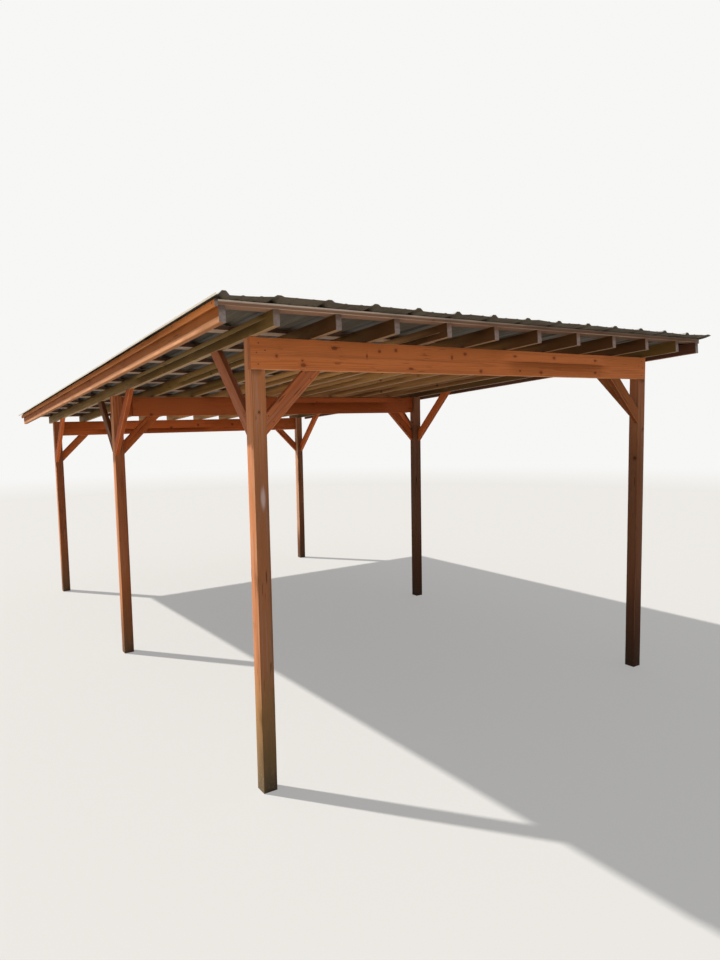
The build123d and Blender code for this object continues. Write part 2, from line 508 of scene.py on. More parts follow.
def marks_shape(s, place, marks):
    """Highest of several ellipses: 1 at their centres, 0 on their outlines, below 0 outside."""
    highest = -50.0
    for x, z, half_x, half_z in marks:
        shifted = s.vector("SUBTRACT", place, (x, 0, z))
        scaled = s.vector("MULTIPLY", shifted, (1 / half_x, 0, 1 / half_z))
        highest = s.math("MAXIMUM", s.minus(1.0, s.length(scaled)), highest)
    return highest


class Timber(Shader):
    """Wood in the making, with its places in the log and the patterns that follow its grain."""

    def __init__(self, name, look):
        super().__init__(name)
        self.look = look
        self.tone = self.attribute("tone")
        self.rise = self.attribute("rise")
        self.grain = self.attribute("grain", "Vector")
        self.along, self.across, self.through = self.split(self.grain)
        self.frame_x, self.frame_y, self.frame_z = self.split(self.place)
        self.stretched = self.drawn_out(0.07)
        self.long_streaks = self.drawn_out(0.02)
        self.fibre = self.noise(self.long_streaks, 420.0, 3.0, 0.7)
        self.band = self.noise(self.long_streaks, 34.0, 2.0)
        self.ragged_rise = self.plus(self.rise, self.times(self.noise(self.stretched, 30.0, 2.0), 0.16))

    def drawn_out(self, share):
        """Places in the log with its length shrunk, so that a pattern runs along the grain."""
        return self.join(self.times(self.along, share), self.across, self.through)


def knot_core(s, marks):
    """1 in a knot's middle, 0 on its outline, below 0 outside. Knots sit at the marks, or
    else at random points of the solid."""
    if marks:
        warp = s.node("ShaderNodeTexNoise", {"Scale": 60.0}, output=1)
        blur = s.vector("MULTIPLY", warp, (0.008, 0.0, 0.008))
        return marks_shape(s, s.vector("ADD", s.place, blur), marks)
    cells = s.node("ShaderNodeTexVoronoi", {"Vector": s.grain, "Scale": KNOTS_PER_METRE}).node.outputs
    chance, _, _ = s.split(cells["Color"])
    knot_radius = s.span(chance, 0.35, 1.0, 0.0, 0.017)
    reach = s.math("DIVIDE", cells["Distance"], KNOTS_PER_METRE)
    return s.minus(1.0, s.math("DIVIDE", reach, s.plus(knot_radius, 0.0005)))


def late_wood(s, halo):
    """Dark part of the year rings round the pith. The rings swell round the knots."""
    wander = s.times(s.noise(s.stretched, 9.0, 2.0), 0.030)
    ripple = s.times(s.noise(s.stretched, 60.0, 2.0), 0.0035)
    swell = s.times(halo, 0.012)
    square = s.plus(s.times(s.across, s.across), s.times(s.through, s.through))
    radius = s.plus(s.math("SQRT", square), s.plus(wander, s.plus(ripple, swell)))
    year = s.math("FRACT", s.math("DIVIDE", radius, RING_SPACING))
    return s.times(s.span(year, 0.30, 0.85), s.span(year, 1.0, 0.90))


def paint_grain(s, late, knot, halo):
    """Rings, streaks, faded patches, fibres and bloom, with the knots over them."""
    look = s.look
    patch = s.noise(s.stretched, 5.0, 3.0)
    s.color = s.mix(s.times(late, 0.62), look["early"], look["late"])
    s.paint(s.span(s.band, 0.52, 0.70, 0.0, 0.6), look["streak"])
    s.paint(s.span(patch, 0.48, 0.72, 0.0, 0.6), look["faded"])
    s.paint(s.span(s.tone, 0.5, 1.0, 0.0, 0.55), look["streak"])
    shade = s.plus(s.times(s.fibre, 0.5), s.times(s.tone, -0.16))
    s.color = s.dimmed(s.plus(shade, 0.83))
    if "bloom" in look:
        bloom = s.noise(s.long_streaks, 90.0, 3.0, 0.6)
        s.paint(s.span(bloom, 0.50, 0.66, 0.0, 0.55), look["bloom"])
    s.paint(s.times(halo, 0.45), look["late"])
    s.paint(s.times(knot, 0.82), look["knot"])


def paint_checks(s):
    """Short dark checks that open along the grain. Returns where they are."""
    fine = s.noise(s.drawn_out(0.05), 150.0, 1.0, 0.2)
    gate = s.span(s.noise(s.grain, 4.0, 1.0), 0.5, 0.62)
    check = s.times(s.span(fine, 0.665, 0.70), gate)
    s.paint(s.times(check, 0.75), s.look["knot"])
    return check


def paint_tail(s):
    """The tail's colour towards the front end and over the upper part of the section."""
    tail_noise = s.times(s.noise(s.stretched, 14.0, 3.0), 0.7)
    inward = s.minus(s.minus(s.frame_y, DECK.y), tail_noise)
    s.paint(s.span(inward, TAIL_REACH - 0.35, -0.25, 0.0, 0.97), s.look["tail"])
    s.paint(s.span(s.ragged_rise, 0.2, 1.1, 0.0, 0.45), s.look["tail"])


def paint_highlight_and_darkening(s):
    """Front board: a painted highlight along its top over a dark line, and wood darker towards the right.
    """
    split_height = s.minus(s.frame_z, DECK.z - FRONT_SPLIT_DROP)
    ragged_split = s.plus(split_height, s.times(s.noise(s.stretched, 12.0, 2.0), 0.004))
    s.paint(s.span(ragged_split, 0.004, 0.0005, 0.0, 0.60), s.look["late"])
    # Painted highlight: a pale band along the board's top
    s.paint(s.span(ragged_split, 0.001, 0.010, 0.0, 0.92), s.look["top_highlight"])
    s.paint(s.span(s.frame_x, *DARKENED_SPAN, 0.0, 0.85), s.look["darkened"])


def paint_underside_light_and_shade(s):
    """Undersides in their own colour, paler or darker than the sides as painted light and shade."""
    s.paint(s.times(s.attribute("under"), s.span(s.band, 0.2, 0.7, 0.9, 0.6)), s.look["under"])


def paint_foot(s):
    """Dulled, damp and soiled wood near the floor, with splashes of dirt."""
    ragged = s.plus(s.frame_z, s.times(s.noise(s.stretched, 20.0, 4.0), -0.30))
    rising = s.plus(ragged, s.times(s.noise(s.long_streaks, 55.0, 2.0), -0.25))
    dulled, darkened, soiled = s.look["foot"]
    s.paint(s.span(rising, 0.62, 0.20, 0.0, 0.85), dulled)
    s.paint(s.span(rising, 0.30, -0.10, 0.0, 0.8), darkened)
    s.paint(s.span(rising, -0.05, -0.30, 0.0, 0.8), soiled)
    splash = s.span(s.noise(s.place, 70.0, 4.0, 0.7), 0.56, 0.66)
    s.paint(s.times(s.times(splash, s.span(s.frame_z, 0.26, 0.02)), 0.6), SPLASH_COLOR)


def paint_sunny(s):
    """Faces that the sun reaches, above the foot, paler as painted sunlight."""
    sunny = s.times(s.minus(1.0, s.attribute("shady")), s.span(s.band, 0.25, 0.70, 0.95, 0.60))
    s.paint(s.times(sunny, s.span(s.frame_z, 0.25, 0.60)), s.look["sunny"])


def paint_wear_and_painted_light(s, late):
    """Worn arrises, a painted highlight along the lowest arrises, and grey end grain darker over its upper
    part as painted shade.
    """
    wear = s.span(s.noise(s.stretched, 22.0, 3.0), 0.38, 0.66, 0.0, 0.75)
    # Painted highlight: the lowest arrises take the worn colour too
    wear = s.math("MAXIMUM", wear, s.span(s.rise, -0.90, -0.97, 0.0, 0.8))
    s.paint(s.times(s.attribute("arris"), wear), s.look["worn_and_highlight"])
    end_patch = s.span(s.noise(s.grain, 55.0, 3.0), 0.3, 0.7, 0.65, 1.0)
    end_color = s.mix(s.times(late, 0.5), s.look["end"], s.look["streak"])
    # Painted shade: the end grain is darker over the upper part of the section
    end_color = s.mix(s.span(s.ragged_rise, 0.05, 0.75, 0.0, 0.6), end_color, s.look["streak"])
    s.paint(s.times(s.attribute("ends"), end_patch), end_color)


def paint_rub(s, mark):
    rub = s.plus(marks_shape(s, s.place, [mark]), s.times(s.noise(s.long_streaks, 200.0, 2.0), 0.5))
    s.paint(s.span(rub, 0.25, 0.95, 0.0, 0.8), RUBBED_COLOR)


# Parts of a look that only some timbers have, in the order in which they are laid on
EXTRAS = {
    "tail": paint_tail,
    "darkened": paint_highlight_and_darkening,
    "under": paint_underside_light_and_shade,
    "foot": paint_foot,
    "sunny": paint_sunny,
}


def wood(name, look, knots=(), patch_at=None, shady=(1.0, 1.0), painted_sunlit_band=None):
    """Solid timber: rings round a pith, knots, fibres, faded patches, grey ends.
    knots and patch_at are marks at their own places in the frame. shady is how far the
    faces turned from the sun are dimmed as painted shade, low down and at the top. The last
    argument is the paler colour painted as sunlight on the low band that the sun reaches
    under the roof's edge."""
    s = Timber(name, look)
    core = knot_core(s, knots)
    knot = s.span(core, -0.15, 0.25)
    halo = s.span(core, -1.4, 0.1)
    late = late_wood(s, halo)
    paint_grain(s, late, knot, halo)
    check = paint_checks(s)
    # Painted sunlight: a paler band low on the section, where the sun reaches under the roof's edge
    if painted_sunlit_band:
        s.paint(s.span(s.ragged_rise, SUNLIT_BAND_LINE + 0.16, SUNLIT_BAND_LINE, 0.0, 0.85), painted_sunlit_band)
    for part, paint_part in EXTRAS.items():
        if part in look:
            paint_part(s)
    # Painted shade: faces turned from the sun are dimmed, less towards the top
    if shady[0] < 1.0:
        s.paint(s.attribute("shady"), s.dimmed(s.span(s.frame_z, *SHADY_TOP, *shady)))
    paint_wear_and_painted_light(s, late)
    if patch_at:
        paint_rub(s, patch_at)
    s.set_surface("Specular IOR Level", WOOD_SPECULAR)
    roughness = s.plus(s.times(s.fibre, 0.22), 0.58)
    height = s.plus(s.plus(s.times(late, 0.35), s.times(s.fibre, 0.75)), s.times(knot, 0.5))
    return s.finish(roughness, s.minus(height, s.times(check, 1.6)), 0.0008, 0.7)


def rust_runs(s, x, y):
    """Thin rust runs down the slope from the screws: 1 at a screw, fading below it."""
    across = s.wrap(s.minus(x, SCREW_X), RIB_PITCH / 2)
    down = s.math("DIVIDE", s.minus(y, DECK.y), DOWN.y)
    below = s.math("MODULO", s.plus(down, PURLIN_PITCH - SCREW_ALONG), PURLIN_PITCH)
    sway = s.times(s.minus(s.noise(s.join(x, y, 0.0), 30.0, 2.0), 0.5), 0.012)
    narrow = s.span(s.math("ABSOLUTE", s.plus(across, sway)), 0.010, 0.001)
    fade = s.span(below, 0.42, 0.0)
    chosen = s.span(s.noise(s.join(x, y, 9.0), 2.3, 1.0), 0.46, 0.66, 0.05, 0.6)
    return s.times(s.times(narrow, fade), chosen)


def paint_rib_dirt(s, x, y, stain):
    """Grime beside the ribs and a dirty line along each rib's foot."""
    grime = s.noise(s.join(x, s.times(y, 0.30), 5.0), 9.0, 6.0, 0.72)
    from_screws = s.math("ABSOLUTE", s.wrap(s.minus(x, SCREW_X), RIB_PITCH / 2))
    beside = s.span(from_screws, 0.10, 0.015, 0.10, 0.42)
    s.paint(s.times(s.span(grime, 0.46, 0.66), beside), stain)
    from_rib = s.math("ABSOLUTE", s.wrap(s.minus(x, RIB_X), RIB_PITCH / 2))
    ragged = s.times(s.minus(s.noise(s.place, 24.0, 4.0, 0.7), 0.5), 0.022)
    from_foot = s.math("ABSOLUTE", s.plus(s.minus(from_rib, RIB_BASE / 2), ragged))
    s.paint(s.span(from_foot, 0.016, 0.002, 0.0, 0.75), stain)


def sheet_metal(name, light, dark, stain, metallic, roughness_low, runs_of=None, inner_shade=None):
    """Zinc-coated sheet gone dull: crystal spangle, long runs of dirt, brown specks.
    runs_of is the colour of the rust runs under the screws, and the last argument the colour
    of the painted shade that the sheet takes on behind its first bay."""
    s = Shader(name)
    x, y, _ = s.split(s.place)
    spangle = s.node("ShaderNodeTexVoronoi", {"Vector": s.place, "Scale": 95.0}, output="Color")
    facet, _, _ = s.split(spangle)
    cloud = s.noise(s.place, 1.7, 5.0, 0.6)
    runs = s.noise(s.join(x, s.times(y, 0.02), 0.0), 48.0, 4.0, 0.6)
    reach = s.noise(s.join(x, s.times(y, 0.25), 0.0), 3.0, 3.0, 0.6)
    s.color = s.mix(s.span(cloud, 0.35, 0.68, 0.0, 0.55), light, dark)
    s.paint(s.times(s.attribute("tone"), 0.30), dark)
    s.paint(s.times(facet, 0.20), light)
    dirt = s.times(s.span(runs, 0.50, 0.72, 0.0, 0.5), s.span(reach, 0.40, 0.62))
    s.paint(dirt, stain)
    if inner_shade:
        # Painted shade: darker behind the first bay, further in under the roof
        behind = s.plus(s.minus(y, DECK.y), s.times(reach, -0.5))
        s.paint(s.span(behind, *INNER_SHADE_SPAN, 0.0, 0.62), inner_shade)
    s.paint(s.span(s.noise(s.place, 46.0, 5.0, 0.75), 0.64, 0.74, 0.0, 0.55), SPECK_COLOR)
    if runs_of:
        paint_rib_dirt(s, x, y, stain)
        rust = rust_runs(s, x, y)
        s.paint(rust, runs_of)
        dirt = s.math("MAXIMUM", dirt, rust)
    s.set_surface("Metallic", metallic)
    s.set_surface("Specular IOR Level", METAL_SPECULAR)
    roughness = s.plus(s.plus(s.times(cloud, 0.22), roughness_low), s.times(dirt, 0.3))
    height = s.plus(s.times(s.noise(s.place, 3.2, 2.0), 3.0), s.times(facet, 0.05))
    return s.finish(roughness, height, 0.0018, 0.35)


def fastener_metal(name, color_a, color_b, metallic):
    """Small heads: mottled zinc, rust or rubber."""
    s = Shader(name)
    mottle = s.noise(s.place, 260.0, 4.0, 0.7)
    s.color = s.mix(s.span(mottle, 0.42, 0.62), color_a, color_b)
    s.set_surface("Metallic", metallic)
    return s.finish(s.plus(s.times(mottle, 0.4), 0.35), mottle, 0.0003, 0.5)


def from_post_foot(marks):
    """Marks given from the outer side and foot of the front left post, at their places."""
    low, _ = box_of("post_front_left")
    return [(low.x + x, low.z + z, half_x, half_z) for x, z, half_x, half_z in marks]


def seen_marks(marks):
    """Marks given by their pixels of the photograph, at their places in the frame."""
    return from_post_foot((*on_front_face(column, row), *half_sizes) for column, row, *half_sizes in marks)


MATERIALS = {
    "post": wood("stained_post", DEEP_POST, shady=(0.68, 0.86)),
    "front_left_post": wood(
        "stained_post_rubbed",
        POST,
        knots=seen_marks(FRONT_POST_KNOTS),
        patch_at=from_post_foot([RUBBED_PATCH])[0],
        shady=(SHADY_FACTOR, SHADY_TOP_FACTOR),
    ),
    "right_post": wood("stained_right_post", RIGHT_POST, shady=(0.48, 0.85)),
    "right_brace": wood("stained_right_brace", RIGHT_BRACE, shady=(0.92, 0.92)),
    "brace": wood("stained_front_brace", BRACE, shady=(0.92, 0.92)),
    "shaded_stain": wood("stained_timber_painted_shade", SHADED_STAIN, shady=(0.90, 0.90)),
    "edge_board": wood("stained_fly_rafter", EDGE_BOARD, painted_sunlit_band=PAINTED_SUNLIT_BAND),
    "strip": wood("stained_rake_strip", STRIP),
    "front_board": wood("raw_front_board", FRONT_BOARD),
    "front_beam": wood("stained_front_beam", STAINED, knots=seen_marks(FRONT_BEAM_KNOTS)),
    "raw": wood("raw_rafter_wood", RAW),
    "shaded_raw": wood("rafter_wood_painted_shade", SHADED_RAFTER),
    "shaded_raw_dark_tail": wood("rafter_wood_painted_shade_dark_tail", SHADED_RAFTER_DARK_TAIL),
    "shadowed_brace": wood("dark_stained_brace", SHADOWED_BRACE),
    "inner": wood("inner_face_painted_shade", INNER),
    "board": wood("raw_purlin_wood", BOARD),
    "metal_top": sheet_metal(
        "zinc_sheet_top",
        (0.43, 0.44, 0.44),
        (0.27, 0.28, 0.28),
        (0.135, 0.12, 0.095),
        metallic=0.25,
        roughness_low=0.62,
        runs_of=(0.20, 0.085, 0.032),
    ),
    # Underside: dark colours as painted shade under the roof
    "metal_under": sheet_metal(
        "zinc_sheet_underside",
        (0.150, 0.132, 0.103),
        (0.082, 0.070, 0.053),
        (0.055, 0.040, 0.026),
        metallic=0.3,
        roughness_low=0.5,
        inner_shade=(0.032, 0.024, 0.016),
    ),
    # Edges and upstands: paler metal as a painted highlight of the sunlit edge
    "metal_edge_highlight": sheet_metal(
        "zinc_sheet_edge_painted_highlight",
        (0.62, 0.585, 0.50),
        (0.50, 0.47, 0.40),
        (0.34, 0.30, 0.24),
        metallic=0.15,
        roughness_low=0.50,
    ),
    "nail": fastener_metal("nail_head_metal", (0.10, 0.08, 0.065), (0.13, 0.055, 0.025), 0.6),
    "screw": fastener_metal("roof_screw_metal", (0.45, 0.46, 0.46), (0.24, 0.17, 0.11), 0.8),
    "washer": fastener_metal("screw_washer_rubber", (0.035, 0.035, 0.035), (0.06, 0.055, 0.05), 0.0),
}


# Timbers

def add_object(name, data):
    made = bpy.data.objects.new(name, data)
    bpy.context.scene.collection.objects.link(made)
    return made


def add_piece(name, mesh, materials):
    piece = add_object(name, mesh)
    for key in materials:
        mesh.materials.append(MATERIALS[key])
    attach(piece, "root")
    return piece


def cad_copy(node):
    """The node's mesh with its flat faces whole again."""
    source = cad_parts[node]
    bm = bmesh.new()
    bm.from_mesh(source.data)
    bm.transform(source.matrix_world)
    bmesh.ops.remove_doubles(bm, verts=bm.verts, dist=1e-5)
    bmesh.ops.dissolve_limit(bm, angle_limit=math.radians(0.4), verts=bm.verts, edges=bm.edges)
    return bm


def grain_axes(bm):
    """Grain runs along the longest edge; the other two axes are square to the faces."""
    longest = max(bm.edges, key=lambda e: e.calc_length())
    along = (longest.verts[1].co - longest.verts[0].co).normalized()
    sides = [f for f in bm.faces if abs(f.normal.dot(along)) < 0.05]
    through = max(sides, key=lambda f: f.calc_area()).normal.normalized()
    across = through.cross(along).normalized()
    return along, across, through


def cut(bm, point, normal):
    geometry = bm.verts[:] + bm.edges[:] + bm.faces[:]
    bmesh.ops.bisect_plane(bm, geom=geometry, dist=1e-6, plane_co=point, plane_no=normal)


def cut_sections(bm, along, centre, reach):
    """Cross cuts along the grain, so that the timber can bow and wear."""
    count = max(2, round(2 * reach / SECTION_STEP))
    for step in range(1, count):
        cut(bm, centre + along * (2 * reach * step / count - reach), along)


def open_crack(bm, axes, centre, face_axis, offset, start, end, drift):
    """Drying check: a narrow groove along the grain in one face."""
    along, across, through = axes
    outward = through if face_axis == "through" else across
    sideways = across if face_axis == "through" else through
    rows = (-CRACK_HALF_WIDTH, 0.0, CRACK_HALF_WIDTH)
    for row in rows:
        cut(bm, centre + sideways * (offset + row), sideways)
    surface = max((v.co - centre).dot(outward) for v in bm.verts)
    for vert in bm.verts:
        local = vert.co - centre
        place = local.dot(along)
        if local.dot(outward) < surface - 1e-5 or not start < place < end:
            continue
        aside = local.dot(sideways) - offset
        if abs(aside) > CRACK_HALF_WIDTH + 1e-5:
            continue
        share = (place - start) / (end - start)
        taper = math.sin(math.pi * share) ** 0.6
        shift = noise.noise(Vector((place * 2.3, drift, 0.0))) * 0.004 * taper
        width = (0.25 + 0.75 * taper) * aside - aside
        vert.co += sideways * (shift + width)
        if abs(aside) < 1e-5:
            vert.co -= outward * CRACK_DEPTH * taper


def ease_edges(bm, along):
    """Rounds the long outer arrises, as planed timber has them."""
    sharp = []
    for edge in bm.edges:
        if len(edge.link_faces) != 2:
            continue
        direction = (edge.verts[1].co - edge.verts[0].co).normalized()
        if abs(direction.dot(along)) > 0.985 and edge.calc_face_angle_signed() > math.radians(60):
            sharp.append(edge)
    bmesh.ops.bevel(
        bm, geom=sharp, offset=EASED_EDGE, segments=2, profile=0.5, affect="EDGES", clamp_overlap=True
    )


def weather(bm, axes, centre, reach, seed, bow):
    """Slight bow, uneven faces and nibbled arrises. bow is how far the middle may
    stand off across and through the grain."""
    along, across, through = axes
    bow_across = random.uniform(-bow[0], bow[0])
    bow_through = random.uniform(-bow[1], bow[1])
    bm.normal_update()
    for vert in bm.verts:
        place = (vert.co - centre).dot(along)
        arch = math.cos(math.pi * place / (2 * reach))
        spot = vert.co * 7.0 + Vector((seed, 0, 0))
        dent = (noise.noise(spot) - 1.0) * FACE_WAVE
        wear = 0.0
        if all(abs(f.normal.dot(along)) < 0.3 for f in vert.link_faces) and vert.calc_shell_factor() > 1.02:
            wear = max(0.0, noise.noise(vert.co * 16.0 + Vector((0, seed, 0))) - 0.12) * 0.004
        vert.co += vert.normal * (dent - wear)
        vert.co += across * bow_across * arch + through * bow_through * arch


def to_mesh(bm, name):
    mesh = bpy.data.meshes.new(f"{name}_mesh")
    bm.to_mesh(mesh)
    bm.free()
    return mesh


def smooth_below(mesh, degrees):
    """Shades smoothly over edges that turn less than this."""
    mesh.shade_smooth()
    mesh.set_sharp_from_angle(angle=math.radians(degrees))


def store(mesh, name, values, kind="FLOAT", domain="FACE"):
    """Writes one value for each point or face, for the shaders to read."""
    key = "vector" if kind == "FLOAT_VECTOR" else "value"
    mesh.attributes.new(name, kind, domain).data.foreach_set(key, values)


def write_grain(mesh, axes, centre, pith, tone, covered):
    """Stores where each point lies in the log, and which faces are ends, arrises,
    undersides or turned from the sun."""
    grain = []
    for vert in mesh.vertices:
        local = vert.co - centre
        grain.extend(Vector([local.dot(axis) for axis in axes]) + pith)
    upright = max(axes[1:], key=lambda axis: abs(axis.z))
    upright = upright if upright.z > 0 else -upright
    heights = [(v.co - centre).dot(upright) for v in mesh.vertices]
    half = max(abs(h) for h in heights)
    ends = []
    arrises = []
    unders = []
    shady = []
    for face in mesh.polygons:
        slants = [abs(face.normal.dot(axis)) for axis in axes]
        ends.append(float(slants[0] > 0.6))
        arrises.append(float(max(slants) < 0.985 and face.area < ARRIS_AREA))
        unders.append(float(face.normal.z < -0.6))
        shady.append(float(covered or face.normal.y < -0.5 or face.normal.x > 0.5))
    store(mesh, "grain", grain, "FLOAT_VECTOR", "POINT")
    store(mesh, "tone", [tone] * len(mesh.vertices), domain="POINT")
    store(mesh, "rise", [h / half for h in heights], domain="POINT")
    store(mesh, "ends", ends)
    store(mesh, "under", unders)
    store(mesh, "shady", shady)
    store(mesh, "arris", arrises)


def timber_middle(bm, axes):
    """Middle of the timber along each of its axes, and half its length."""
    centre = Vector([sum(a) / len(bm.verts) for a in zip(*(v.co for v in bm.verts))])
    reaches = []
    for axis in axes:
        spread = [v.co.dot(axis) for v in bm.verts]
        centre += axis * ((max(spread) + min(spread)) / 2 - centre.dot(axis))
        reaches.append((max(spread) - min(spread)) / 2)
    return centre, reaches[0]


def open_cracks(bm, axes, centre, reach, seed, count):
    """Drying checks at random places, in wide and narrow faces by turns."""
    for number in range(count):
        face_axis = ("through", "across")[number % 2]
        sideways = axes[1] if face_axis == "through" else axes[2]
        half = max((v.co - centre).dot(sideways) for v in bm.verts)
        offset = random.uniform(-0.45, 0.45) * half
        start = random.uniform(-0.9, 0.3) * reach
        end = min(start + random.uniform(0.35, 0.9) * reach, reach * 0.96)
        open_crack(bm, axes, centre, face_axis, offset, start, end, seed + number)


def dress_timber(
    node, materials, slot="stained_timber", cracks=0, bow=(0.0, 0.0), inner_way=0, tone=None, covered=False
):
    """A worn timber in place of the plain CAD one. Faces that look along inner_way * X
    take the second material. A covered timber has no side that the sun reaches, so all
    its faces take the painted shade."""
    bm = cad_copy(node)
    axes = grain_axes(bm)
    centre, reach = timber_middle(bm, axes)
    seed = random.uniform(0, 50)
    cut_sections(bm, axes[0], centre, reach)
    open_cracks(bm, axes, centre, reach, seed, cracks)
    ease_edges(bm, axes[0])
    weather(bm, axes, centre, reach, seed, bow)
    mesh = to_mesh(bm, node)
    pith = Vector((random.uniform(0, 40), random.uniform(0.01, 0.09), random.uniform(-0.09, 0.09)))
    chance = random.uniform(0.0, 1.0)
    write_grain(mesh, axes, centre, pith, chance if tone is None else tone, covered)
    smooth_below(mesh, 32)
    if inner_way:
        for face in mesh.polygons:
            if face.normal.x * inner_way > 0.5 or abs(face.normal.y) > 0.9:
                face.material_index = 1
    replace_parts(add_piece(f"{node}_weathered", mesh, materials), node)


def post_look(node):
    """Of the right posts only the back one has a side that the sun reaches; the others
    take the painted shade on every face.
    """
    right = node.endswith("_right")
    kind = "right_post" if right else "post"
    if node == "post_front_left":
        kind = "front_left_post"
    covered = right and node != "post_back_right"
    return {"materials": [kind], "cracks": 2, "bow": (BOW, BOW), "covered": covered}


def rafter_look(node):
    """The rafters are painted darker from left to right, as painted shade. The two outermost
    take a palette darkened as painted shade, and so do the second and the third, but for
    their darker tails."""
    number = RAFTERS.index(node) + 1
    kind = "shaded_raw_dark_tail" if number < 4 else "raw"
    if number in (1, len(RAFTERS)):
        kind = "shaded_raw"
    # Painted shade: the tone grows from left to right and darkens each rafter with it
    tone = (number - 1) / (len(RAFTERS) - 1)
    return {"materials": [kind], "slot": "raw_timber", "cracks": 1, "tone": tone}


# How the other timbers are dressed, by the start of their names. The first that fits counts.
TIMBER_LOOKS = {
    "beam_front": {"materials": ["front_beam"], "cracks": 1},
    "beam_": {"materials": ["shaded_stain"], "cracks": 1},
    "brace_middle_left_down_slope": {"materials": ["shadowed_brace"], "cracks": 1},
    "brace_front_right": {"materials": ["right_brace"], "cracks": 1},
    "brace_front_left_down_slope": {"materials": ["brace"], "cracks": 1, "tone": 0.9},
    "brace_front_left": {"materials": ["brace"], "cracks": 1, "tone": 0.3},
    "brace_": {"materials": ["shaded_stain"], "cracks": 1},
    "fly_rafter_left": {"materials": ["edge_board", "inner"], "inner_way": 1},
    "fly_rafter_right": {"materials": ["edge_board", "inner"], "inner_way": -1},
    "rake_strip_left": {"materials": ["strip", "inner"], "inner_way": 1},
    "rake_strip_right": {"materials": ["strip", "inner"], "inner_way": -1},
    "purlin_01": {"materials": ["front_board"], "slot": "raw_timber", "cracks": 1},
    "purlin_": {"materials": ["board"], "slot": "raw_timber"},
}


def timber_look(node):
    """What dress_timber takes for one node, or nothing where the node is no timber."""
    if node.startswith("post_"):
        return post_look(node)
    if node in RAFTERS:
        return rafter_look(node)
    return next((look for start, look in TIMBER_LOOKS.items() if node.startswith(start)), None)


def dress_all_timbers():
    for node in sorted(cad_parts):
        look = timber_look(node)
        if look:
            dress_timber(node, **look)


# Ribbed sheets

def rib_walls(centre, stand_off=0.0):
    """Underside of one rib from left foot to right foot, as in the solids."""
    run = (RIB_BASE - RIB_TOP) / 2
    wall = math.hypot(run, RIB_HEIGHT)
    foot = RIB_BASE / 2 + stand_off * wall / RIB_HEIGHT
    shoulder = RIB_TOP / 2 + stand_off * (wall - run) / RIB_HEIGHT
    top = RIB_HEIGHT + stand_off
    return [(centre - foot, 0), (centre - shoulder, top), (centre + shoulder, top), (centre + foot, 0)]


def stiffeners(centre):
    points = []
    for third in (1, 2):
        middle = centre + RIB_PITCH * third / 3
        points.append((middle - STIFFENER_BASE / 2, 0))
        points.append((middle - STIFFENER_TOP / 2, STIFFENER_HEIGHT))
        points.append((middle + STIFFENER_TOP / 2, STIFFENER_HEIGHT))
        points.append((middle + STIFFENER_BASE / 2, 0))
    return points


def sheet_outline(first, last):
    """Underside line of one sheet from its first rib to its last, left to right."""
    laps_over = first > 0
    stand_off = SHEET_THICK + LAP_CLEARANCE if laps_over else 0.0
    points = rib_walls(rib_centre(first), stand_off)
    if laps_over:
        foot, shoulder = points[0], points[1]
        landing = foot[0] + (shoulder[0] - foot[0]) * stand_off / shoulder[1]
        points[0] = (landing, stand_off)
        points.insert(0, (landing - LAP_LIP, stand_off))
    else:
        left_edge = points[0][0] - EDGE_LIP
        points = [(left_edge, EDGE_UPSTAND - EDGE_DROOP), (left_edge, -EDGE_DROOP)] + points
    for number in range(first, last):
        points += stiffeners(rib_centre(number)) + rib_walls(rib_centre(number + 1))
    if last == RIB_GAPS:
        right_edge = points[-1][0] + EDGE_LIP
        points += [(right_edge, -EDGE_DROOP), (right_edge, EDGE_UPSTAND - EDGE_DROOP)]
    return [Vector((a, 0, b)) for a, b in points]


def round_bends(points):
    """Each fold becomes a short arc."""
    line = [points[0]]
    for before, corner, after in zip(points, points[1:], points[2:]):
        room = min((before - corner).length, (after - corner).length) * 0.45
        reach = min(BEND_RADIUS, room)
        start = corner + (before - corner).normalized() * reach
        end = corner + (after - corner).normalized() * reach
        for step in range(BEND_STEPS + 1):
            t = step / BEND_STEPS
            line.append(start.lerp(corner, t).lerp(corner.lerp(end, t), t))
    line.append(points[-1])
    return line


def section_normals(line):
    """Unit normals of the section line, on the upper side."""
    normals = []
    for index in range(len(line)):
        before = line[max(index - 1, 0)]
        after = line[min(index + 1, len(line) - 1)]
        run = (after - before).normalized()
        normals.append(Vector((-run.z, 0, run.x)))
    return normals


def sheet_wave(x, along, length, height, on_slope):
    """How far the thin sheet stands off its true form: it is oil-canned between the
    purlins, and its loose front and back edges curl. on_slope starts at the first purlin."""
    pan = 1.0 - min(height / RIB_HEIGHT, 1.0)
    gap = ((on_slope - PURLIN_WIDTH) % PURLIN_PITCH) / (PURLIN_PITCH - PURLIN_WIDTH)
    free = math.sin(math.pi * gap) if gap < 1.0 else 0.0
    wave = noise.noise(Vector((x * 2.6, along * 1.3, 3.0))) * PAN_WAVE * pan * free
    front = max(0.0, 1.0 - along / LOOSE_FRONT)
    back = max(0.0, 1.0 - (length - along) / LOOSE_BACK)
    loose = noise.noise(Vector((x * 2.1, 7.0, 0.0)))
    sag = noise.noise(Vector((x * 5.3, 1.0, 0.0)))
    edge = (front ** 1.5) * (loose * 0.014 + sag * 0.008 + 0.006) * (0.1 + 0.9 * pan)
    edge += (back ** 1.5) * (sag * 0.008 - 0.001)
    return wave + min(edge, 0.0003 + 0.012 * pan)


def sheet_stations(length):
    """Where the sheet's cross sections lie along it, closer together at its loose ends."""
    count = round(length / SHEET_STEP)
    places = [*FRONT_STATIONS]
    places += [length * i / count for i in range(1, count)]
    places += [length - back for back in BACK_STATIONS]
    return sorted(set(round(place, 4) for place in places))


